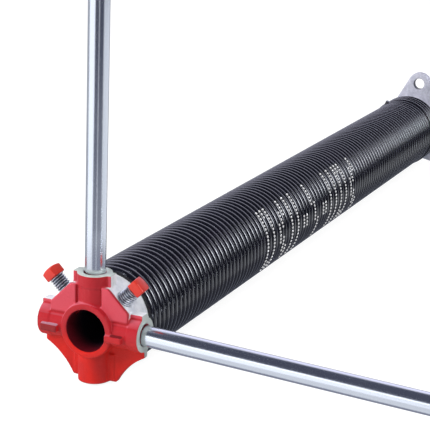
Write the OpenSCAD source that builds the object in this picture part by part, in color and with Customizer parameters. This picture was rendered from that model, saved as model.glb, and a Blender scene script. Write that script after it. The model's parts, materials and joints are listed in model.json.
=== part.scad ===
// Garage door torsion spring: a close-wound coil on a winding cone and a stationary cone,
// with two set screws and two winding bars. Millimetres. The shaft runs along X. The origin
// is the centre of the stationary cone's mounting face, and the winding cone is at the -X end.

/* [Spring coil] */
// Diameter of the coated wire
wire_d = 5.74; // [5:0.01:5.76]
// Inside diameter of the free coil
spring_id = 50.8; // [48:0.1:56]
// Advance of the coil in one turn
pitch = 5.8; // [5.8:0.01:6.4]
// Whole turns from one cut end to the other
turns = 104; // [30:1:130]
// How much the last turns are stretched out over the stationary cone, on the radius
flare = 1.2; // [0:0.1:2]
// Turns that each cone's thread holds
seat_turns = 5; // [3:1:7]
// Direction of the wire's cut ends round the shaft, from +Z towards -Y
wire_end_angle = 105; // [60:1:170]
// Length of the stub that stands off the coil near the stationary cone
stub_len = 7; // [3:0.1:8]
// Whole turns between the stub and the coil's far end
stub_turns = 4; // [2:1:6]
// Direction of the stub round the shaft, from +Z towards +Y
stub_angle = 36; // [0:1:70]

/* [Winding cone] */
// Diameter of the bore for the shaft
shaft_bore_d = 26.2; // [25.6:0.1:27]
// Diameter of the hub behind the sockets
hub_d = 56; // [54:0.1:57]
// Length from the nose ring's face to the spring's seat
cone_body_len = 28.4; // [26:0.1:34]
// Outside diameter of the nose ring
ring_d = 34; // [32:0.1:36]
// Reach of each winding socket from the shaft's centre line
boss_reach = 34.1; // [32:0.1:36]
// Outside diameter of each winding socket
boss_d = 20.4; // [19.5:0.1:21]
// Outside diameter of the collar round the mouth of the three upper sockets
boss_collar_d = 21.4; // [21:0.1:23]
// Length of that collar
boss_collar_len = 7.6; // [5:0.1:9]
// Distance from the nose ring's face to the sockets' centre line
boss_setback = 11.6; // [11:0.1:12.4]
// Diameter of the hole that takes a winding bar
socket_d = 13.6; // [13.4:0.1:14.4]
// Depth of the hole that takes a winding bar
socket_depth = 18; // [14:0.1:18.5]
// Half the width across the two fins of a socket
fin_half_w = 12.9; // [12:0.1:13.4]
// Length of a fin along its socket
fin_len = 7.3; // [5:0.1:9]
// Thickness of a fin
fin_t = 7.5; // [6:0.1:8]
// Distance from the nose ring's face to the hub's shoulder
shoulder_front = 12; // [11.5:0.1:13]
// Distance from the nose ring's face to the raised upper pads
pad_front = 3.6; // [2.5:0.1:4.5]
// Distance from the shaft's centre line to the slanted edge of an upper pad
pad_edge = 28.2; // [27:0.1:28.8]
// Distance from the nose ring's face to the lower webs
web_front = 11.2; // [9:0.1:12]
// Thickness of the lower webs
web_t = 4.2; // [3:0.1:6]
// Distance from the shaft's centre line to the hollow edge of a lower web, at its middle
web_waist = 32.3; // [30:0.1:34]
// Radius of the hollow edge of a lower web
web_hollow_r = 45; // [42:0.5:60]
// How far the ribs beside the lower socket stand in front of the webs
rib_proud = 1.2; // [0.5:0.1:2]
// Length of a drive lug on the nose
lug_len = 11.2; // [9:0.1:13]
// Height of a drive lug on the nose
lug_h = 4.4; // [3:0.1:5]
// How far the drive lugs stand out in front of the nose ring
lug_proud = 1.5; // [0.5:0.1:2.5]

/* [Stationary cone] */
// Thickness of the flange
flange_t = 5.5; // [4.5:0.1:7]
// Length of the collar between the flange and the spring
collar_len = 8; // [6:0.1:12]
// Number of ears on the flange
ear_count = 3; // [2:1:3]
// Diameter of the circle through the centres of the flange's bolt holes
bolt_circle_d = 85.7; // [82:0.1:92]
// Diameter of each bolt hole
bolt_hole_d = 10.6; // [9:0.1:12]
// Radius of the rounded end of each ear
ear_r = 11; // [10:0.1:13]
// Diameter of the flange between its ears
flange_d = 56.4; // [54:0.1:66]
// Turn of the first ear away from the upright winding socket
ear_turn = 6; // [0:1:20]
// Height of the raised pad on each ear
ear_pad_h = 0.6; // [0.3:0.1:1.2]
// Diameter of the recess for the shaft's bearing
recess_d = 51; // [46:0.1:52]
// Depth of the recess for the shaft's bearing
recess_depth = 4; // [2:0.1:6]

/* [Set screws] */
// Diameter of the screw thread
screw_d = 9.5; // [9:0.1:10]
// Width across the flats of the square head
screw_head_w = 9; // [8.8:0.1:11]
// Height of the square head
screw_head_h = 6.8; // [6:0.1:9]
// Length of the thread under the head
screw_len = 23; // [21:0.1:24]
// Distance from the shaft's centre line to the underside of the left head
screw_head_left = 37.6; // [36.4:0.1:39]
// Distance from the shaft's centre line to the underside of the right head
screw_head_right = 38.4; // [36.4:0.1:39]
// Turn of the left head about its own screw
screw_turn_left = 77; // [0:1:89]
// Turn of the right head about its own screw
screw_turn_right = 4; // [0:1:89]

/* [Winding bars] */
// Diameter of a winding bar
bar_d = 12.7; // [12:0.1:13.2]
// Length of a winding bar
bar_len = 457; // [300:1:600]
// Bevel at the ends of a winding bar
bar_bevel = 0.8; // [0.3:0.1:1.5]
// Lean of the upright bar towards -Y, in degrees
bar_lean = 0.8; // [0:0.1:1.2]

/* [Hidden] */
$fn = 72;
wire_fn = 24;               // facets round the wire in a preview

// Running clearances
wire_fit = 0.02;    // wire in its groove, each side
screw_fit = 0.1;    // screw in its tapped hole, each side
bar_fit = 0.08;     // bar off the lip that it hangs on
seat_gap = 0.02;    // coil off the flat at the end of its groove

// The coil and its two seats along the shaft
wire_r = wire_d / 2;
coil_r = spring_id / 2 + wire_r;
coil_len = turns * pitch + wire_d;
far_seat = -(flange_t + collar_len);
coil_end = far_seat - seat_gap;
coil_start = coil_end - coil_len;
near_seat = coil_start - seat_gap;
nose = near_seat - cone_body_len;
socket_x = nose + boss_setback;
halves = 2 * turns;
flare_halves = 2 * (seat_turns - 1);
shank_len = seat_turns * pitch;
shank_tip = 2;              // plain tapered lead at the end of a shank
shank_r = spring_id / 2 + 0.42 * wire_r;
overlap = 0.5;              // how deep one part of a casting runs into the next

// The level bar hangs until it touches the socket's lip below and its roof inside
bar_sag = atan((socket_d - bar_d - 2 * bar_fit) / socket_depth);

// Radius of the wire's centre line at the start of half turn k
function centre_r(k) = coil_r + flare * max(0, min(1, (k - (halves - flare_halves - 2)) / 2));

// A number at six digits
function six(v) = let (p = pow(10, 5 - floor(log(abs(v))))) round(v * p) / p;

// Moves along X by a coarse step and the small rest, so that two ends meet exactly
module shift_x(d) {
    coarse = six(d);
    translate([coarse, 0, 0])
        translate([d - coarse, 0, 0])
            children();
}

// Leans the +X side up, in the same way
module lean_x(a) {
    coarse = acos(six(cos(a)));
    rotate([0, -coarse, 0])
        rotate([0, atan2(six(sin(coarse)), six(cos(coarse))) - a, 0])
            children();
}

// Half a turn of round wire, from radius ra at angle 180 up to radius rb at angle 0
module half_turn(ra, rb, r) {
    tilt = atan(pitch / 2 / (ra + rb));
    mid_r = (ra + rb) / 2 / cos(tilt);
    coarse_r = six(mid_r);
    translate([(rb - ra) / 2, 0, 0])
        lean_x(tilt)
            rotate_extrude(angle = 180)
                translate([coarse_r, 0])
                    translate([mid_r - coarse_r, 0])
                        circle(r, $fn = wire_fn);
}

// Half turns first to last of the left-handed coil, along +X
module coil_halves(first, last, r) {
    rotate([wire_end_angle, 0, 0])
        for (k = [first : last])
            shift_x(coil_start + wire_r + (k + 0.5) * pitch / 2)
                rotate([0, 90, 0])
                    rotate([0, 0, -180 * (k % 2)])
                        half_turn(centre_r(k), centre_r(k + 1), r);
}

// A cylinder along +X from x0 to x1
module rod_x(x0, x1, r) {
    translate([x0, 0, 0])
        rotate([0, 90, 0])
            cylinder(r = r, h = x1 - x0);
}

// A flat shape, drawn with Y to the right and Z up, as a plate from x0 to x1
module plate_x(x0, x1) {
    translate([x0, 0, 0])
        rotate([90, 0, 90])
            linear_extrude(height = x1 - x0)
                children();
}

// ---- Spring coil ----

// The cut end of wire that lifts off the coil beside the stationary cone
module wire_stub() {
    lift = 32;
    x = coil_start + wire_r + turns * pitch - pitch * (stub_turns + (stub_angle + wire_end_angle) / 360);
    translate([x, 0, 0])
        rotate([-stub_angle, 0, 0])
            translate([0, 0, coil_r])
                rotate([90 - lift, 0, 0])
                    cylinder(r = 0.92 * wire_r, h = stub_len);
}

module spring_coil() {
    color("#17171a") {
        coil_halves(0, halves - 1, wire_r);
        wire_stub();
    }
}

// ---- Winding cone ----

// Repeats its children at the sockets, which point up, to -Y, down and to +Y
module at_sockets(which = [0 : 3]) {
    for (i = which)
        rotate([90 * i, 0, 0])
            children();
}

// Both halves of a flat shape that is drawn for +Y alone
module both_sides() {
    children();
    mirror([1, 0])
        children();
}

// Raised pad between the upright socket and its neighbour
module pad_outline() {
    inner = boss_d / 2 - 1.5;
    low = 7.5;
    outer = pad_edge - 2.1;
    slant = pad_edge * sqrt(2);
    polygon([[inner, low], [outer, low], [outer, slant - outer],
             [slant - boss_reach + fin_len - 0.2, boss_reach - fin_len + 0.2],
             [inner, boss_reach - fin_len + 0.2]]);
}

// Web between the lower socket and its neighbour, with a hollow outer edge
module web_outline() {
    hollow_c = (web_waist + web_hollow_r) / sqrt(2);
    side = boss_reach - 0.2;
    difference() {
        translate([0, -side])
            square(side);
        translate([hollow_c, -hollow_c])
            circle(web_hollow_r);
    }
}

// Fin along the mouth of a socket, on the side of +Y or on the side of -Y
module fin(side) {
    translate([socket_x - fin_t / 2, side > 0 ? 0 : -fin_half_w, boss_reach - fin_len])
        cube([fin_t, fin_half_w, fin_len]);
}

// Square-edged lug on the nose, from y0 outwards along Y
module drive_lug(y0) {
    translate([nose - lug_proud, y0, 0.3 - lug_h])
        cube([lug_proud + boss_setback, lug_len, lug_h]);
}

module winding_cone_body() {
    ring_r = ring_d / 2;
    web_x = nose + web_front;
    rod_x(nose, nose + shoulder_front + overlap, ring_r);
    rod_x(nose + shoulder_front, near_seat + pitch, hub_d / 2);
    rod_x(near_seat, near_seat + shank_len, shank_r);
    translate([near_seat + shank_len, 0, 0])
        rotate([0, 90, 0])
            cylinder(r1 = shank_r, r2 = spring_id / 2 - shank_tip / 2, h = shank_tip);
    at_sockets()
        translate([socket_x, 0, 0])
            cylinder(d = boss_d, h = boss_reach);
    at_sockets([0, 1, 3])
        translate([socket_x, 0, boss_reach - boss_collar_len])
            cylinder(d = boss_collar_d, h = boss_collar_len);
    at_sockets([0, 1])
        fin(1);
    at_sockets([0, 3])
        fin(-1);
    plate_x(nose + pad_front, socket_x + fin_t / 2)
        both_sides()
            pad_outline();
    plate_x(web_x, web_x + web_t)
        both_sides()
            web_outline();
    for (side = [-1, 1])
        translate([web_x - rib_proud, side > 0 ? 0 : -fin_half_w - 0.7, 1 - boss_reach])
            cube([rib_proud + overlap, fin_half_w + 0.7, boss_reach - ring_r]);
    drive_lug(ring_r + 2.5);
    drive_lug(-shaft_bore_d / 2 - lug_len);
}

module winding_cone() {
    color("#c3261f")
        difference() {
            winding_cone_body();
            rod_x(nose - lug_proud - 1, near_seat + shank_len + shank_tip + 1, shaft_bore_d / 2);
            at_sockets()
                translate([socket_x, 0, boss_reach - socket_depth])
                    cylinder(d = socket_d, h = socket_depth + 1);
            for (side = [-1, 1])
                translate([socket_x, 0, 0])
                    rotate([45 * side, 0, 0])
                        cylinder(r = screw_d / 2 + screw_fit, h = boss_reach);
            coil_halves(0, 2 * seat_turns + 1, wire_r + wire_fit);
        }
}

// ---- Stationary cone ----

// Outline of the flange, with its first ear along Y
module flange_outline() {
    hub = flange_d / 2;
    reach = bolt_circle_d / 2;
    taper = asin((hub - ear_r) / reach);
    circle(hub);
    for (i = [0 : ear_count - 1])
        rotate(360 / ear_count * i) {
            translate([0, reach])
                circle(ear_r);
            polygon([[hub * cos(taper), hub * sin(taper)],
                     [ear_r * cos(taper), reach + ear_r * sin(taper)],
                     [-ear_r * cos(taper), reach + ear_r * sin(taper)],
                     [-hub * cos(taper), hub * sin(taper)]]);
        }
}

// Raised pad round each bolt hole, running in to the collar
module ear_pads() {
    pad_r = ear_r - 0.8;
    reach = bolt_circle_d / 2;
    for (i = [0 : ear_count - 1])
        rotate(360 / ear_count * i) {
            translate([0, reach])
                circle(pad_r);
            translate([-pad_r, 0])
                square([2 * pad_r, reach]);
        }
}

module stationary_cone() {
    far_shank_r = shank_r + flare;
    color("#b9b9c4")
        difference() {
            union() {
                rotate([ear_turn, 0, 0]) {
                    plate_x(-flange_t, 0)
                        flange_outline();
                    plate_x(-flange_t - ear_pad_h, -flange_t)
                        ear_pads();
                }
                rod_x(far_seat - pitch, -flange_t, coil_r + flare);
                rod_x(far_seat - shank_len, far_seat, far_shank_r);
                translate([far_seat - shank_len - shank_tip, 0, 0])
                    rotate([0, 90, 0])
                        cylinder(r1 = spring_id / 2 - shank_tip / 2, r2 = far_shank_r, h = shank_tip);
            }
            rod_x(far_seat - shank_len - shank_tip - 1, 1, shaft_bore_d / 2);
            rod_x(-recess_depth, 1, recess_d / 2);
            for (i = [0 : ear_count - 1])
                rotate([ear_turn + 360 / ear_count * i, 0, 0])
                    translate([0, 0, bolt_circle_d / 2])
                        rod_x(-flange_t - ear_pad_h - 1, 1, bolt_hole_d / 2);
            coil_halves(halves - 2 * seat_turns - 2, halves - 1, wire_r + wire_fit);
        }
}

// ---- Set screws ----

// A square-headed set screw, backed out of the hub until its head is at radius seat
module set_screw(side, seat, turn) {
    lead = 1.2;
    dome_r = 1.6 * screw_head_w;
    color("#d8301c")
        translate([socket_x, 0, 0])
            rotate([45 * side, 0, 0]) {
                translate([0, 0, seat - screw_len]) {
                    cylinder(r1 = screw_d / 2 - lead, r2 = screw_d / 2, h = lead);
                    translate([0, 0, lead])
                        cylinder(d = screw_d, h = screw_len - lead);
                }
                intersection() {
                    translate([0, 0, seat])
                        rotate(turn)
                            translate([-screw_head_w / 2, -screw_head_w / 2, 0])
                                cube([screw_head_w, screw_head_w, screw_head_h]);
                    translate([0, 0, seat + screw_head_h - dome_r])
                        sphere(dome_r);
                }
            }
}

module set_screw_left() {
    set_screw(-1, screw_head_left, screw_turn_left);
}

module set_screw_right() {
    set_screw(1, screw_head_right, screw_turn_right);
}

// ---- Winding bars ----

// A round bar along +Z with bevelled ends
module winding_bar() {
    color("#c9ccd2")
        rotate_extrude()
            polygon([[0, 0], [bar_d / 2 - bar_bevel, 0], [bar_d / 2, bar_bevel],
                     [bar_d / 2, bar_len - bar_bevel], [bar_d / 2 - bar_bevel, bar_len], [0, bar_len]]);
}

// The upright bar stands on its socket's floor and leans a little in its clearance
module winding_bar_upright() {
    translate([socket_x, 0, boss_reach - socket_depth + bar_d / 2 * sin(bar_lean)])
        rotate([bar_lean, 0, 0])
            winding_bar();
}

// The level bar hangs down, turned about the middle of its socket
module winding_bar_level() {
    rotate([90, 0, 0])
        translate([socket_x, 0, boss_reach - socket_depth / 2])
            rotate([bar_sag, 0, 0])
                translate([0, 0, -socket_depth / 2 + bar_fit + bar_d / 2 * sin(bar_sag)])
                    winding_bar();
}

spring_coil();
winding_cone();
stationary_cone();
set_screw_left();
set_screw_right();
winding_bar_upright();
winding_bar_level();
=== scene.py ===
"""Looks of a garage door torsion spring on its winding cone and its stationary cone.

Metres. The shaft runs along X, the stationary cone's mounting face is at x = 0, and the
winding cone is at the -X end with one bar standing up and one lying along -Y.
"""

import json
import math

import bmesh
import bpy
from mathutils import Matrix, Vector


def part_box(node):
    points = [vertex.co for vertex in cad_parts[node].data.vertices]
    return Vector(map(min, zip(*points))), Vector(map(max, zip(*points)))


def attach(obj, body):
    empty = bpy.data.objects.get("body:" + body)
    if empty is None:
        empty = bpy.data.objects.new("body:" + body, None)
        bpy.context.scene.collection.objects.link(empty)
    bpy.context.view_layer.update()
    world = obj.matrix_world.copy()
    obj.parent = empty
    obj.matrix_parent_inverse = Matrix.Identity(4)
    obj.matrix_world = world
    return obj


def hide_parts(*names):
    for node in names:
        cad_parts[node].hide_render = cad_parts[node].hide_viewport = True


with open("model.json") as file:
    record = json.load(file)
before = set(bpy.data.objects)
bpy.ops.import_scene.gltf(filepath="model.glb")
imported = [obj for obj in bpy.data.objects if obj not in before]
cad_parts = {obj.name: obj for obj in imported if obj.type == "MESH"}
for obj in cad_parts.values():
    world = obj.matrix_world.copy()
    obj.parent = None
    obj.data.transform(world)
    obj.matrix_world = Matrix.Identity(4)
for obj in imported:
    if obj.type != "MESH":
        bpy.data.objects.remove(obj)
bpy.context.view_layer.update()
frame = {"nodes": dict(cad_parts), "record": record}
scene = bpy.context.scene
MM = 0.001

# ---- Sizes ----

MOUNTS = {m["name"]: m for m in frame["record"]["mounts"]}
SOCKET_X = MOUNTS["winding_socket_left"]["pos_m"][0]
WIRE_R = 2.87 * MM
COIL_R = 28.27 * MM
PITCH = 5.8 * MM
TURNS = 104
FLARE = 1.2 * MM
FLARE_FROM = 198  # half turn at which the coil starts to widen
WIRE_END = math.radians(105)  # the wire's cut ends, from +Z towards -Y
STUB_AROUND = 36  # degrees from +Z towards +Y
STUB_LIFT = math.radians(32)
STUB_LENGTH = 7 * MM
STUB_TURNS = 4  # from the stub to the coil's far end
COIL_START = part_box("spring_coil")[0].x
NOSE = SOCKET_X - 11.6 * MM
SHAFT_R = 13.1 * MM
BOSS_REACH = 34.1 * MM
SOCKET_D = 13.6 * MM
SOCKET_DEPTH = 18 * MM
BOLT_R = MOUNTS["flange_bolts"]["dims"]["pcd_mm"] / 2 * MM
BOLT_HOLE_R = MOUNTS["flange_bolts"]["dims"]["hole_r_mm"] * MM
EARS = MOUNTS["flange_bolts"]["dims"]["count"]
EAR_TURN = 6  # degrees from +Z towards -Y to the first ear
BAR_R = 6.35 * MM
BAR_LENGTH = 457 * MM
BAR_BEVEL = 0.8 * MM
BAR_LEAN = math.radians(0.8)  # of the upright bar, towards -Y
BAR_FIT = 0.08 * MM
SCREW_R = 4.75 * MM
SCREW_LENGTH = 23 * MM
THREAD_PITCH = 1.5875 * MM
HEAD_W = 9 * MM
HEAD_H = 6.8 * MM
VIEW_AZIMUTH = 209.7  # degrees from +X towards +Y to the side that the camera is on


# ---- Node maths ----


class Value:
    """A socket in a node tree. Operators on it add Math nodes to that tree."""

    def __init__(self, net, socket):
        self.net = net
        self.socket = socket

    def maths(self, operation, *others, clamp=False):
        settings = {"operation": operation, "use_clamp": clamp}
        return self.net.add("ShaderNodeMath", settings, [self, *others])

    def __add__(self, other):
        return self.maths("ADD", other)

    def __radd__(self, other):
        return self.maths("ADD", other)

    def __sub__(self, other):
        return self.maths("SUBTRACT", other)

    def __rsub__(self, other):
        return self.net.add("ShaderNodeMath", {"operation": "SUBTRACT"}, [other, self])

    def __mul__(self, other):
        return self.maths("MULTIPLY", other)

    def __rmul__(self, other):
        return self.maths("MULTIPLY", other)

    def __truediv__(self, other):
        return self.maths("DIVIDE", other)

    def __neg__(self):
        return self.maths("MULTIPLY", -1.0)

    def __abs__(self):
        return self.maths("ABSOLUTE")

    def sin(self):
        return self.maths("SINE")

    def cos(self):
        return self.maths("COSINE")

    def sqrt(self):
        return self.maths("SQRT")

    def floor(self):
        return self.maths("FLOOR")

    def fraction(self):
        return self.maths("FRACT")

    def least(self, other):
        return self.maths("MINIMUM", other)

    def most(self, other):
        return self.maths("MAXIMUM", other)

    def clamped(self):
        return self.maths("ADD", 0.0, clamp=True)

    def rise(self, start, end):
        """0 up to start, 1 from end on, and a smooth step between. end may be the lower one."""
        t = ((self - start) * (1.0 / (end - start))).clamped()
        return t * t * (3.0 - 2.0 * t)

    def band(self, low, high, soft):
        """1 between low and high, 0 outside them, with soft edges."""
        return self.rise(low - soft, low + soft) * (1.0 - self.rise(high - soft, high + soft))


class Net:
    """A node tree, with one method that adds any node to it."""

    def __init__(self, tree):
        self.tree = tree

    def add(self, kind, settings=None, inputs=None, out=0):
        node = self.tree.nodes.new(kind)
        for key, value in (settings or {}).items():
            setattr(node, key, value)
        pairs = inputs.items() if isinstance(inputs, dict) else enumerate(inputs or [])
        for key, value in pairs:
            if isinstance(value, Value):
                self.tree.links.new(value.socket, node.inputs[key])
            else:
                node.inputs[key].default_value = value
        return Value(self, node.outputs[out])

    def split(self, vector):
        node = self.add("ShaderNodeSeparateXYZ", None, [vector]).socket.node
        return [Value(self, socket) for socket in node.outputs]

    def join(self, x, y, z):
        return self.add("ShaderNodeCombineXYZ", None, [x, y, z])

    def place(self):
        """X, Y and Z of the point being shaded, in the object's own frame."""
        return self.add("ShaderNodeTexCoord", None, None, out=3)

    def facing(self):
        """The surface's own direction, in the object's frame."""
        return self.add("ShaderNodeTexCoord", None, None, out=1)

    def stretch(self, vector, scale):
        return self.add("ShaderNodeMapping", None, {0: vector, 3: scale})

    def noise(self, vector, scale, detail=3.0, rough=0.5):
        sockets = {"Vector": vector, "Scale": scale, "Detail": detail, "Roughness": rough}
        return self.add("ShaderNodeTexNoise", {"noise_dimensions": "3D"}, sockets)

    def mix(self, factor, a, b):
        """Colour a where factor is 0, and colour b where it is 1."""
        a, b = [(*c, 1.0) if isinstance(c, tuple) else c for c in (a, b)]
        return self.add("ShaderNodeMix", {"data_type": "RGBA"}, {0: factor, 6: a, 7: b}, out=2)

    def bump(self, height, distance):
        sockets = {"Height": height, "Distance": distance, "Strength": 1.0}
        return self.add("ShaderNodeBump", None, sockets)


def finish(name, colour, **sockets):
    """A new material with a Principled shader, its tree and that shader's inputs."""
    material = bpy.data.materials.new(name)
    material.use_nodes = True
    material.diffuse_color = (*colour, 1.0)
    shader = material.node_tree.nodes["Principled BSDF"]
    shader.inputs["Base Color"].default_value = (*colour, 1.0)
    for key, value in sockets.items():
        shader.inputs[key.replace("_", " ")].default_value = value
    return material, Net(material.node_tree), shader.inputs


def wire(net, value, socket):
    net.tree.links.new(value.socket, socket)


# ---- Finishes ----

ZINC = (0.68, 0.71, 0.76)
RED = (0.56, 0.016, 0.014)


def black_coating():
    """Gloss black coating on the wire, a little uneven and rubbed."""
    colour = (0.0025, 0.0025, 0.006)
    material, net, shader = finish("black_coating", colour, Roughness=0.3, Coat_Weight=0.35,
                                   Coat_Roughness=0.14)
    place = net.place()
    cloud = net.noise(place, 90.0, 4.0, 0.6)
    grit = net.noise(place, 1400.0, 2.0, 0.5)
    wire(net, net.mix(cloud.rise(0.45, 0.75), colour, (0.006, 0.006, 0.012)), shader["Base Color"])
    wire(net, 0.14 + 0.12 * cloud, shader["Roughness"])
    wire(net, net.bump(grit, 0.00004), shader["Normal"])
    return material


def cast_metal(net, place):
    """Colour, roughness and height of the bare grey casting."""
    grain = net.noise(place, 900.0, 3.0, 0.65)
    patch = net.noise(place, 120.0, 4.0, 0.55)
    colour = net.mix(patch.rise(0.3, 0.65), (0.72, 0.75, 0.78), (0.97, 0.98, 1.0))
    return colour, 0.32 + 0.25 * grain, 0.6 * grain + 0.4 * patch


def bare_casting():
    """Grey aluminium casting, as it leaves the mould, with painted shade darkening its bolt holes.
    """
    material, net, shader = finish("bare_casting", (0.5, 0.5, 0.58), Metallic=0.3)
    place = net.place()
    _, y, z = net.split(place)
    colour, rough, height = cast_metal(net, place)
    speck = net.noise(place, 420.0, 4.0, 0.7).rise(0.35, 0.65)
    colour = net.mix(0.75, colour, net.mix(speck, (0.36, 0.36, 0.46), (0.54, 0.53, 0.64)))
    around = (0.0 - y).maths("ARCTAN2", z) * (0.5 / math.pi) - EAR_TURN / 360
    turn = (around * EARS + 0.5).fraction() - 0.5
    radius = (y * y + z * z).sqrt()
    angle = turn * (2 * math.pi / EARS)
    away = radius * radius + BOLT_R * BOLT_R - 2 * BOLT_R * radius * angle.cos()
    # Painted shade: the walls of the bolt holes are darkened to near black, as if in shadow.
    hole_shade = 1.0 - away.most(0.0).sqrt().rise(BOLT_HOLE_R + 0.05 * MM, BOLT_HOLE_R + 0.3 * MM)
    wire(net, net.mix(hole_shade, colour, (0.06, 0.06, 0.085)), shader["Base Color"])
    wire(net, rough, shader["Roughness"])
    wire(net, net.bump(height, 0.0004), shader["Normal"])
    return material


def painted_cone():
    """Red paint on the front of the winding cone, with bare socket ends and hub."""
    material, net, shader = finish("painted_cone", RED, Specular_IOR_Level=0.35)
    place = net.place()
    x, y, z = net.split(place)
    nx, ny, nz = net.split(net.facing())
    ragged = 0.0012 * (net.noise(place, 260.0, 4.0, 0.6) - 0.5)
    depth = x - NOSE + ragged
    boss_y = (z * z + (x - SOCKET_X) * (x - SOCKET_X)).sqrt()
    boss_z = (y * y + (x - SOCKET_X) * (x - SOCKET_X)).sqrt()
    near_boss = 1.0 - boss_y.least(boss_z).rise(0.0112, 0.0122)
    low = 1.0 - z.rise(-0.008, -0.006)
    front = 1.0 - depth.rise(0.0055, 0.0061)
    faces_front = (-nx).rise(0.45, 0.6)
    boss_paint = near_boss * (1.0 - depth.rise(0.0165, 0.0175))
    web_paint = low * (1.0 - depth.rise(0.0148, 0.0156))
    front_paint = faces_front * (1.0 - depth.rise(0.0128, 0.0136))
    paint = front.most(boss_paint).most(web_paint).most(front_paint)
    reach = abs(y).most(abs(z)) + 0.25 * ragged
    cut_end = reach.rise(BOSS_REACH - 0.0005, BOSS_REACH - 0.0002)
    paint = paint * (1.0 - cut_end)
    metal, metal_rough, metal_height = cast_metal(net, place)
    skin = net.noise(place, 700.0, 3.0, 0.6)
    tone = net.noise(place, 60.0, 3.0, 0.5)
    upper = z.rise(-0.012, 0.004)
    # Painted light: the red is lighter and more orange low down and darker crimson higher up,
    # copying how light and sheen fall on lower and upper faces.
    red = net.mix(upper, (0.6, 0.012, 0.006), (0.42, 0.012, 0.02))
    red = net.mix(tone.rise(0.4, 0.8) * 0.6, red, (0.33, 0.01, 0.012))
    # Painted sheen: the front faces of the raised pads are mixed towards pink, standing in for a
    # broad highlight on them.
    pad_sheen = faces_front * z.rise(0.006, 0.009) * (1.0 - near_boss) * depth.rise(0.0028, 0.0032)
    red = net.mix(0.8 * pad_sheen, red, (0.6, 0.07, 0.1))
    lug = (1.0 - abs(z).rise(0.0055, 0.0065)) * abs(y).rise(0.0165, 0.0172)
    lug = lug * (1.0 - depth.rise(0.009, 0.0095))
    left = y.rise(-0.001, 0.001)
    # Painted light and shade: the top of the left lug is mixed towards pinkish grey as a painted
    # sheen, and the top of the right lug and the front of the left lug are darkened as painted
    # shade.
    lug_top = lug * nz.rise(0.5, 0.7)
    lug_face = lug * faces_front * (1.0 - depth.rise(-0.0008, 0.0))
    red = net.mix(lug_top * left, red, (0.4, 0.2, 0.26))
    red = net.mix(lug_top * (1.0 - left), red, (0.17, 0.012, 0.016))
    red = net.mix(lug_face * left, red, (0.24, 0.012, 0.014))
    # Painted sheen: upper faces that turn up and towards +Y are mixed towards pink, standing in for
    # the reflection of light on them.
    painted_sheen = upper * (0.8 * nz + 0.7 * ny).rise(0.3, 0.85) * (1.0 - lug)
    red = net.mix(0.6 * painted_sheen, red, (0.66, 0.17, 0.23))
    shaft = (y * y + z * z).sqrt()
    bore = (1.0 - shaft.rise(SHAFT_R + 0.2 * MM, SHAFT_R + 0.5 * MM)) * (1.0 - faces_front)
    shade = net.mix(depth.rise(0.004, 0.02), (0.09, 0.004, 0.009), (0.016, 0.012, 0.022))
    end_grey = net.mix(cut_end, metal, (0.5, 0.55, 0.52))
    colour = net.mix(paint, end_grey, red)
    wire(net, net.mix(bore, colour, shade), shader["Base Color"])
    wire(net, (1.0 - paint) * (1.0 - bore) * (0.25 - 0.2 * cut_end), shader["Metallic"])
    paint_rough = 0.54 - 0.16 * upper + 0.14 * skin
    wire(net, paint * paint_rough + (1.0 - paint) * metal_rough, shader["Roughness"])
    height = paint * (0.5 * skin + 0.9) + (1.0 - paint) * metal_height
    wire(net, net.bump(height, 0.00045), shader["Normal"])
    return material


def drawn_steel():
    """Bright zinc on drawn bar, with fine lines along the bar."""
    material, net, shader = finish("drawn_steel", ZINC, Metallic=1.0, Roughness=0.16)
    place = net.place()
    _, y, _ = net.split(place)
    lying = abs(y).rise(0.026, 0.027)
    upright_lines = net.stretch(place, (1.0, 1.0, 0.02))
    level_lines = net.stretch(place, (1.0, 0.02, 1.0))
    along = net.mix(lying, upright_lines, level_lines)
    lines = net.noise(along, 2600.0, 2.0, 0.5)
    cloud = net.noise(place, 40.0, 3.0, 0.5)
    wire(net, net.mix(cloud, (0.7, 0.73, 0.78), (0.78, 0.8, 0.84)), shader["Base Color"])
    wire(net, 0.13 + 0.1 * lines + 0.06 * cloud, shader["Roughness"])
    wire(net, net.bump(lines, 0.00001), shader["Normal"])
    return material


def dipped_screw(name, side, seat):
    """Zinc screw whose head was dipped in red paint, down to its first thread."""
    material, net, shader = finish(name, ZINC, Metallic=1.0)
    place = net.place()
    x, y, z = net.split(place)
    height = (z - side * y) * math.sqrt(0.5)
    blot = net.noise(place, 500.0, 3.0, 0.5)
    head = (height + 0.0008 * (blot - 0.5)).rise(seat - 0.0002, seat)
    stain = (height + 0.0012 * (blot - 0.5)).rise(seat - 0.0012, seat - 0.0004)
    red = net.mix(blot, (0.56, 0.022, 0.01), (0.66, 0.034, 0.016))
    dirt = net.mix(blot.rise(0.35, 0.6), (0.5, 0.53, 0.58), (0.88, 0.9, 0.94))
    across = (y + side * z) * math.sqrt(0.5)
    radius = ((x - SOCKET_X) * (x - SOCKET_X) + across * across).sqrt()
    # Painted shade: the roots of the thread are darkened, as if in shadow between the crests.
    groove_shade = 1.0 - radius.rise(SCREW_R - 0.75 * MM, SCREW_R - 0.15 * MM)
    metal = net.mix(0.85 * groove_shade, dirt, (0.05, 0.06, 0.09))
    metal = net.mix(0.35 * stain, metal, (0.5, 0.1, 0.08))
    wire(net, net.mix(head, metal, red), shader["Base Color"])
    wire(net, 1.0 - head, shader["Metallic"])
    wire(net, 0.26 + 0.1 * blot, shader["Roughness"])
    wire(net, net.bump(blot, 0.00006), shader["Normal"])
    return material


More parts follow.
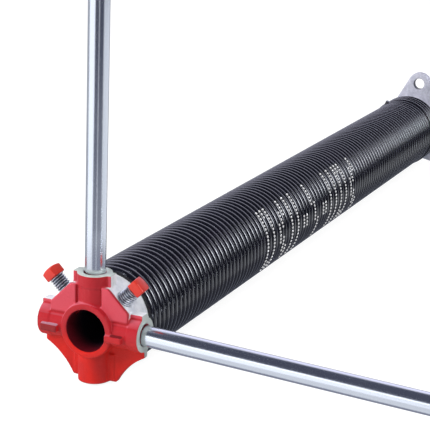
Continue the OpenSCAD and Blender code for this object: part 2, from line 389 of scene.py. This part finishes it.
def white_ink():
    """White ink of the marks on the coil."""
    material, net, shader = finish("white_ink", (0.98, 0.98, 1.0), Roughness=0.55)
    worn = net.noise(net.place(), 800.0, 3.0, 0.6)
    colour = net.mix(worn.rise(0.3, 0.6), (0.82, 0.83, 0.86), (1.0, 1.0, 1.0))
    wire(net, colour, shader["Base Color"])
    return material


BLACK = black_coating()
CAST = bare_casting()
PAINTED = painted_cone()
STEEL = drawn_steel()
INK = white_ink()


# ---- Pieces ----


def add_piece(name, mesh, material, slot, *nodes):
    """A finished mesh as a piece of the object, in place of the CAD nodes named."""
    piece = bpy.data.objects.new(name, mesh)
    scene.collection.objects.link(piece)
    mesh.materials.clear()
    mesh.materials.append(material)
    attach(piece, "root")
    if nodes:
        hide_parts(*nodes)
    return piece


def baked(thing, name):
    """A plain mesh of an object with its modifiers, and the object removed."""
    bpy.context.view_layer.update()
    view = thing.evaluated_get(bpy.context.evaluated_depsgraph_get())
    mesh = bpy.data.meshes.new_from_object(view)
    mesh.name = name
    bpy.data.objects.remove(thing)
    return mesh


class Sweep(Net):
    """A Geometry Nodes tree with named inputs for sizes, run on an object and baked."""

    def __init__(self, name, **sizes):
        tree = bpy.data.node_groups.new(name, "GeometryNodeTree")
        super().__init__(tree)
        self.sizes = sizes
        self.sockets = {}
        face = tree.interface
        shape = "NodeSocketGeometry"
        face.new_socket("Geometry", in_out="INPUT", socket_type=shape)
        for key, value in sizes.items():
            kind = "NodeSocketInt" if isinstance(value, int) else "NodeSocketFloat"
            self.sockets[key] = face.new_socket(key, in_out="INPUT", socket_type=kind)
        face.new_socket("Geometry", in_out="OUTPUT", socket_type=shape)
        self.start = tree.nodes.new("NodeGroupInput")
        self.end = tree.nodes.new("NodeGroupOutput")

    def size(self, key):
        return Value(self, self.start.outputs[key])

    def geometry(self):
        return self.size("Geometry")

    def bake(self, shape, material, base=None):
        """Ends the tree in real, painted geometry, runs it and returns the mesh."""
        real = self.add("GeometryNodeRealizeInstances", None, [shape])
        done = self.add("GeometryNodeSetMaterial", None, {"Geometry": real, "Material": material})
        self.tree.links.new(done.socket, self.end.inputs[0])
        carrier = bpy.data.objects.new(self.tree.name, base or bpy.data.meshes.new(self.tree.name))
        scene.collection.objects.link(carrier)
        modifier = carrier.modifiers.new("build", "NODES")
        modifier.node_group = self.tree
        for key, value in self.sizes.items():
            modifier[self.sockets[key].identifier] = value
        return baked(carrier, self.tree.name)


def wind_coil():
    """The wire: half turns that each lie in a leaning plane, end to end."""
    per_half, sides = 29, 16
    net = Sweep("wire_coil", points=2 * TURNS * per_half + 1, per_half=per_half, sides=sides,
                wire_radius=WIRE_R, coil_radius=COIL_R, pitch=PITCH, flare=FLARE,
                flare_from=FLARE_FROM, start=COIL_START + WIRE_R, end_angle=WIRE_END)
    along = net.add("GeometryNodeInputIndex") / net.size("per_half")
    half = along.floor()
    sweep = (along - half) * math.pi

    def radius(k):
        step = ((k - net.size("flare_from")) * 0.5).clamped()
        return net.size("coil_radius") + net.size("flare") * step

    first, last = radius(half), radius(half + 1.0)
    middle = (first + last) * 0.5
    rise = net.size("pitch") * 0.25
    lean = (middle * middle + rise * rise).sqrt()
    turned = 1.0 - 2.0 * (half * 0.5).fraction() * 2.0
    out = ((last - first) * 0.5 - middle * sweep.cos()) * turned
    across = lean * sweep.sin() * turned
    x = net.size("start") + (half + 0.5) * net.size("pitch") * 0.5 - rise * sweep.cos()
    c, s = net.size("end_angle").cos(), net.size("end_angle").sin()
    place = net.join(x, across * c + out * s, across * s - out * c)
    line = net.add("GeometryNodeMeshLine", {"mode": "OFFSET"}, {"Count": net.size("points")})
    curve = net.add("GeometryNodeMeshToCurve", None, [line])
    curve = net.add("GeometryNodeSetPosition", None, {"Geometry": curve, "Position": place})
    ring = net.add("GeometryNodeCurvePrimitiveCircle", {"mode": "RADIUS"},
                   {"Resolution": net.size("sides"), "Radius": net.size("wire_radius")})
    tube = net.add("GeometryNodeCurveToMesh", None,
                   {"Curve": curve, "Profile Curve": ring, "Fill Caps": True})
    tube = net.add("GeometryNodeSetShadeSmooth", None, {0: tube, "Shade Smooth": True})
    return net.bake(tube, BLACK)


def lathe(profile, sides):
    """A closed turned mesh about Z from (radius, height) points that start and end on the axis."""
    mesh = bmesh.new()
    rings = []
    for r, h in profile:
        if r == 0:
            rings.append([mesh.verts.new((0, 0, h))])
            continue
        turn = [2 * math.pi * i / sides for i in range(sides)]
        rings.append([mesh.verts.new((r * math.cos(a), r * math.sin(a), h)) for a in turn])
    for low, high in zip(rings, rings[1:]):
        for i in range(sides):
            j = (i + 1) % sides
            corners = [low[i % len(low)], low[j % len(low)],
                       high[j % len(high)], high[i % len(high)]]
            mesh.faces.new(list(dict.fromkeys(corners)))
    bmesh.ops.recalc_face_normals(mesh, faces=mesh.faces)
    return mesh


def to_mesh(build, name, placing=None, smooth_angle=35):
    """The bmesh as a mesh in its place, smooth but for its sharp edges."""
    if placing is not None:
        build.transform(placing)
    limit = math.radians(smooth_angle)
    for edge in build.edges:
        edge.smooth = len(edge.link_faces) == 2 and edge.calc_face_angle(0.0) < limit
    for face in build.faces:
        face.smooth = True
    mesh = bpy.data.meshes.new(name)
    build.to_mesh(mesh)
    build.free()
    return mesh


def turn_bar(name, placing):
    """A winding bar with rounded bevels at both ends."""
    b, r, h = BAR_BEVEL, BAR_R, BAR_LENGTH
    foot = [(0, 0), (r - b, 0), (r - 0.35 * b, 0.3 * b), (r, b)]
    shank = [(r, 0.1 * h), (r, 0.5 * h), (r, 0.9 * h)]
    profile = foot + shank + [(r, h - b), (r - 0.35 * b, h - 0.3 * b), (r - b, h), (0, h)]
    mesh = to_mesh(lathe(profile, 72), name, placing, 60)
    return add_piece(name, mesh, STEEL, "bar_steel", name)


def soften(node, material, slot, voxel, rounds, keep):
    """A casting with its edges and inner corners rounded over, in place of its CAD node."""
    mesh = frame["nodes"][node].data.copy()
    work = bmesh.new()
    work.from_mesh(mesh)
    bmesh.ops.remove_doubles(work, verts=work.verts, dist=1e-6)
    work.to_mesh(mesh)
    work.free()
    casting = bpy.data.objects.new(node + "_cast", mesh)
    scene.collection.objects.link(casting)
    remesh = casting.modifiers.new("remesh", "REMESH")
    remesh.mode = "VOXEL"
    remesh.voxel_size = voxel
    remesh.use_smooth_shade = True
    smooth = casting.modifiers.new("smooth", "SMOOTH")
    smooth.factor = 0.5
    smooth.iterations = rounds
    thin = casting.modifiers.new("thin", "DECIMATE")
    thin.ratio = keep
    return add_piece(node + "_cast", baked(casting, node + "_cast"), material, slot, node)


def screw_thread(name):
    """A threaded shank along Z from 0 to the underside of the head."""
    net = Sweep(name + "_thread", sides=40, steps=184, radius=SCREW_R, length=SCREW_LENGTH,
                pitch=THREAD_PITCH, depth=0.9 * MM, lead=1.2 * MM)
    shank = net.add("GeometryNodeMeshCylinder", {"fill_type": "NGON"},
                    {"Vertices": net.size("sides"), "Side Segments": net.size("steps"),
                     "Radius": net.size("radius"), "Depth": net.size("length")})
    x, y, z = net.split(net.add("GeometryNodeInputPosition"))
    turn = y.maths("ARCTAN2", x) * (0.5 / math.pi)
    height = z + net.size("length") * 0.5
    phase = (height / net.size("pitch") - turn).fraction()
    ridge = (abs(phase - 0.5) * 2.0).rise(0.12, 0.88)
    cone = net.size("radius") - (net.size("lead") - height).most(0.0)
    r = (net.size("radius") - net.size("depth") * ridge).least(cone)
    scale = r / net.size("radius")
    shank = net.add("GeometryNodeSetPosition", None,
                    {"Geometry": shank, "Position": net.join(x * scale, y * scale, height)})
    shank = net.add("GeometryNodeSetShadeSmooth", None, {0: shank, "Shade Smooth": True})
    return net.bake(shank, None)


def square_head(name):
    """A square head with a domed top and softened edges, standing on Z = 0."""
    n, w, dome = 12, HEAD_W, 1.6 * HEAD_W
    build = bmesh.new()

    def top(i, j):
        x, y = (i / n - 0.5) * w, (j / n - 0.5) * w
        return x, y, HEAD_H - dome + math.sqrt(dome * dome - x * x - y * y)

    grid = [[build.verts.new(top(i, j)) for j in range(n + 1)] for i in range(n + 1)]
    for i in range(n):
        for j in range(n):
            build.faces.new([grid[i][j], grid[i + 1][j], grid[i + 1][j + 1], grid[i][j + 1]])
    rim = [grid[i][0] for i in range(n)] + [grid[n][j] for j in range(n)]
    rim += [grid[i][n] for i in range(n, 0, -1)] + [grid[0][j] for j in range(n, 0, -1)]
    foot = [build.verts.new((v.co.x, v.co.y, 0.0)) for v in rim]
    for a, b, c, d in zip(rim, rim[1:] + rim[:1], foot[1:] + foot[:1], foot):
        build.faces.new([a, d, c, b])
    build.faces.new(foot[::-1])
    bmesh.ops.recalc_face_normals(build, faces=build.faces)
    mesh = bpy.data.meshes.new(name)
    build.to_mesh(mesh)
    build.free()
    head = bpy.data.objects.new(name, mesh)
    scene.collection.objects.link(head)
    bevel = head.modifiers.new("edges", "BEVEL")
    bevel.width = 0.45 * MM
    bevel.segments = 3
    bevel.limit_method = "ANGLE"
    return baked(head, name)


def set_screw(name, side, seat, turn):
    """A square-headed set screw that leans 45 degrees out of the hub."""
    build = bmesh.new()
    build.from_mesh(square_head(name + "_head"))
    turned = Matrix.Rotation(math.radians(turn), 4, "Z")
    build.transform(Matrix.Translation((0, 0, SCREW_LENGTH)) @ turned)
    build.from_mesh(screw_thread(name))
    placing = (Matrix.Translation((SOCKET_X, 0, 0))
               @ Matrix.Rotation(math.radians(45 * side), 4, "X")
               @ Matrix.Translation((0, 0, seat - SCREW_LENGTH)))
    mesh = to_mesh(build, name, placing, 40)
    finish_of_screw = dipped_screw(name + "_finish", side, seat)
    return add_piece(name + "_dipped", mesh, finish_of_screw, "screw_zinc", name)


def wire_centre(s):
    """The middle of the wire after s half turns."""
    half = min(math.floor(s), 2 * TURNS - 1)
    sweep = (s - half) * math.pi

    def radius(k):
        return COIL_R + FLARE * min(max((k - FLARE_FROM) / 2, 0), 1)

    middle, rise = (radius(half) + radius(half + 1)) / 2, PITCH / 4
    turned = -1 if half % 2 else 1
    out = ((radius(half + 1) - radius(half)) / 2 - middle * math.cos(sweep)) * turned
    across = math.hypot(middle, rise) * math.sin(sweep) * turned
    x = COIL_START + WIRE_R + (half + 0.5) * PITCH / 2 - rise * math.cos(sweep)
    c, s = math.cos(WIRE_END), math.sin(WIRE_END)
    return Vector((x, across * c + out * s, across * s - out * c))


def wire_stub():
    """The cut end of wire that stands off the coil beside the stationary cone."""
    r, length = 0.92 * WIRE_R, STUB_LENGTH
    part_turn = (STUB_AROUND + math.degrees(WIRE_END)) / 360
    x = COIL_START + WIRE_R + TURNS * PITCH - PITCH * (STUB_TURNS + part_turn)
    profile = [(0, 0), (r, 0), (r, 0.93 * length), (0.85 * r, length), (0, length)]
    placing = (Matrix.Translation((x, 0, 0)) @ Matrix.Rotation(-math.radians(STUB_AROUND), 4, "X")
               @ Matrix.Translation((0, 0, COIL_R))
               @ Matrix.Rotation(math.pi / 2 - STUB_LIFT, 4, "X"))
    mesh = to_mesh(lathe(profile, 24), "wire_stub", placing)
    return add_piece("wire_stub", mesh, BLACK, "coil_black")


# One row per turn of wire, read round the coil: a mark of ink wherever there is a #.
FULL, ENDS = "##################", "###            ###"
SQUARE = [FULL, ENDS, FULL]
BARS = [FULL, "                  ", FULL]
CHEVRON = ["      ######      ", "   #####  #####   ", "#####        #####"]
STEPS = ["#######           ", "      ######      ", "           #######"]
DASH = ["        ####      ", "        ####      "]
MARKS = [SQUARE, CHEVRON, BARS, DASH, STEPS, DASH, BARS, SQUARE, CHEVRON]


def ink_marks():
    """Rows of ink dots on the wire's crest, in plain squares, bars, chevrons and steps."""
    first_turn, top, step = 30, math.radians(41), math.radians(4.9)
    points, turn = [], first_turn
    for mark in MARKS:
        for row in mark:
            for i, dot in enumerate(row):
                if dot == "#":
                    around = top + i * step
                    s = (WIRE_END - around) / math.pi + 2 * turn
                    centre = wire_centre(s)
                    outward = Vector((0, -math.sin(around), math.cos(around)))
                    points.append(centre + WIRE_R * outward)
            turn += 1
        turn += 1
    base = bpy.data.meshes.new("ink_points")
    base.from_pydata(points, [], [])
    net = Sweep("ink_marks", length=1.9 * MM, width=2.5 * MM, height=0.9 * MM)
    size = net.join(net.size("width"), net.size("length"), net.size("height"))
    dot = net.add("GeometryNodeMeshUVSphere", None, {"Segments": 10, "Rings": 6, "Radius": 0.5})
    dot = net.add("GeometryNodeTransform", None, {"Geometry": dot, "Scale": size})
    dot = net.add("GeometryNodeSetShadeSmooth", None, {0: dot, "Shade Smooth": True})
    _, y, z = net.split(net.add("GeometryNodeInputPosition"))
    turned = net.join((0.0 - y).maths("ARCTAN2", z), 0.0, 0.0)
    dots = net.add("GeometryNodeInstanceOnPoints", None,
                   {"Points": net.geometry(), "Instance": dot, "Rotation": turned})
    return add_piece("ink_marks", net.bake(dots, INK, base), INK, "coil_black")


add_piece("wire_coil", wind_coil(), BLACK, "coil_black", "spring_coil")
wire_stub()
ink_marks()
set_screw("set_screw_left", side=-1, seat=37.6 * MM, turn=77)
set_screw("set_screw_right", side=1, seat=38.4 * MM, turn=4)

foot = BOSS_REACH - SOCKET_DEPTH + BAR_R * math.sin(BAR_LEAN)
turn_bar("winding_bar_upright",
         Matrix.Translation((SOCKET_X, 0, foot)) @ Matrix.Rotation(BAR_LEAN, 4, "X"))
sag = math.atan((SOCKET_D - 2 * BAR_R - 2 * BAR_FIT) / SOCKET_DEPTH)
middle = BOSS_REACH - SOCKET_DEPTH / 2
foot = -SOCKET_DEPTH / 2 + BAR_FIT + BAR_R * math.sin(sag)
turn_bar("winding_bar_level", Matrix.Rotation(math.pi / 2, 4, "X")
         @ Matrix.Translation((SOCKET_X, 0, middle)) @ Matrix.Rotation(sag, 4, "X")
         @ Matrix.Translation((0, 0, foot)))
soften("winding_cone", PAINTED, "cone_red", voxel=0.5 * MM, rounds=5, keep=0.55)
soften("stationary_cone", CAST, "cast_aluminium", voxel=0.5 * MM, rounds=5, keep=0.55)


# ---- Floor, light and camera ----


def light_path(net, kind):
    outputs = {"camera": 0, "glossy": 3}
    return net.add("ShaderNodeLightPath", None, None, out=outputs[kind])


def pale_floor(height):
    """A wide white floor that keeps a light shadow."""
    build = bmesh.new()
    bmesh.ops.create_grid(build, x_segments=1, y_segments=1, size=12)
    mesh = to_mesh(build, "floor", Matrix.Translation((0, 0, height)))
    floor = bpy.data.objects.new("floor", mesh)
    scene.collection.objects.link(floor)
    material, net, _ = finish("floor_white", (0.86, 0.86, 0.87), Roughness=0.9)
    glow = net.add("ShaderNodeEmission", None, {"Color": (1, 1, 1, 1), "Strength": 1.25})
    lit = Value(net, material.node_tree.nodes["Principled BSDF"].outputs[0])
    blend = net.add("ShaderNodeMixShader", None, [light_path(net, "camera") * 0.75, lit, glow])
    wire(net, blend, material.node_tree.nodes["Material Output"].inputs["Surface"])
    mesh.materials.append(material)
    floor.visible_glossy = False


def studio_world():
    """Even white light, and a studio's walls for bright metal to reflect. Walls are placed by
    degrees round the room from the camera's side, and by the sine of the height above level."""
    world = bpy.data.worlds.new("studio")
    scene.world = world
    world.use_nodes = True
    net = Net(world.node_tree)
    ray = net.add("ShaderNodeTexCoord", None, None, out=0)
    x, y, z = net.split(ray)
    turn = (y.maths("ARCTAN2", x) * (0.5 / math.pi) + (0.5 - VIEW_AZIMUTH / 360)).fraction() - 0.5
    around = turn * 360.0
    down = 0.0 - z
    white_wall = around.band(-110, -38, 5) * 1.4
    grey_wall = around.band(53, 146, 9) * down.band(0.11, 0.42, 0.05) * 1.0
    far_wall = abs(around).rise(106, 122) * (0.55 - 0.2 * around.rise(0, 1))
    line = around.band(1, 8, 2) * 0.6
    walls = (0.1 + 0.45 * down.rise(0.2, 0.36)).most(white_wall).most(grey_wall)
    walls = walls.most(far_wall) + line
    ground = walls * (1.0 - 0.35 * down.rise(0.32, 0.5))
    left_screen = around.band(-82, -8, 8) * z.band(0.16, 0.38, 0.08) * 2.0
    right_screen = around.band(56, 74, 4) * z.band(0.36, 0.7, 0.2) * 28.0
    back_wall = abs(around).rise(92, 116) * (1.0 - z.rise(0.68, 0.9))
    above = z.rise(0.1, 0.2)
    mirror = above * (0.12 + left_screen + right_screen + 1.15 * back_wall) + (1.0 - above) * ground
    lavender = above * back_wall
    indigo = 1.0 - mirror.rise(0.15, 0.6)
    camera, glossy = light_path(net, "camera"), light_path(net, "glossy")
    strength = camera + (1.0 - camera) * (glossy * mirror + (1.0 - glossy) * 0.29)
    tint = net.mix(glossy, (1.0, 1.0, 1.0), (0.88, 0.92, 1.0))
    tint = net.mix(glossy * indigo, tint, (0.62, 0.68, 1.0))
    tint = net.mix(glossy * lavender, tint, (0.8, 0.8, 1.0))
    back = net.add("ShaderNodeBackground", None, {"Color": tint, "Strength": strength})
    wire(net, back, world.node_tree.nodes["World Output"].inputs["Surface"])


def softbox(name, azimuth, elevation, width, height, power):
    """A soft lamp that looks at the part's near end from azimuth, counted from +X towards +Y."""
    aim, distance = Vector((-0.45, 0, 0)), 2.2
    a, e = math.radians(azimuth), math.radians(elevation)
    away = Vector((math.cos(e) * math.cos(a), math.cos(e) * math.sin(a), math.sin(e)))
    lamp = bpy.data.lights.new(name, "AREA")
    lamp.shape = "RECTANGLE"
    lamp.size, lamp.size_y, lamp.energy = width, height, power
    light = bpy.data.objects.new(name, lamp)
    scene.collection.objects.link(light)
    light.location = aim + distance * away
    light.rotation_euler = away.to_track_quat("Z", "Y").to_euler()
    light.visible_glossy = False


def set_camera():
    """A camera off the winding cone's end, a little above the shaft."""
    lens = bpy.data.cameras.new("camera")
    lens.lens, lens.sensor_width, lens.clip_end = 117.69, 36.0, 50.0
    camera = bpy.data.objects.new("camera", lens)
    scene.collection.objects.link(camera)
    camera.location = (-1.32842, -0.39215, 0.30146)
    camera.rotation_euler = [math.radians(a) for a in (73.7114, -1.4341, -65.0192)]
    scene.camera = camera


pale_floor(min(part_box(node)[0].z for node in frame["nodes"]) - 0.05 * MM)
studio_world()
softbox("left_box", azimuth=135, elevation=28, width=1.2, height=1.0, power=42)
softbox("right_box", azimuth=235, elevation=50, width=0.9, height=0.9, power=20)
softbox("top_box", azimuth=60, elevation=70, width=1.2, height=1.2, power=5)
set_camera()
scene.view_settings.view_transform = "Standard"
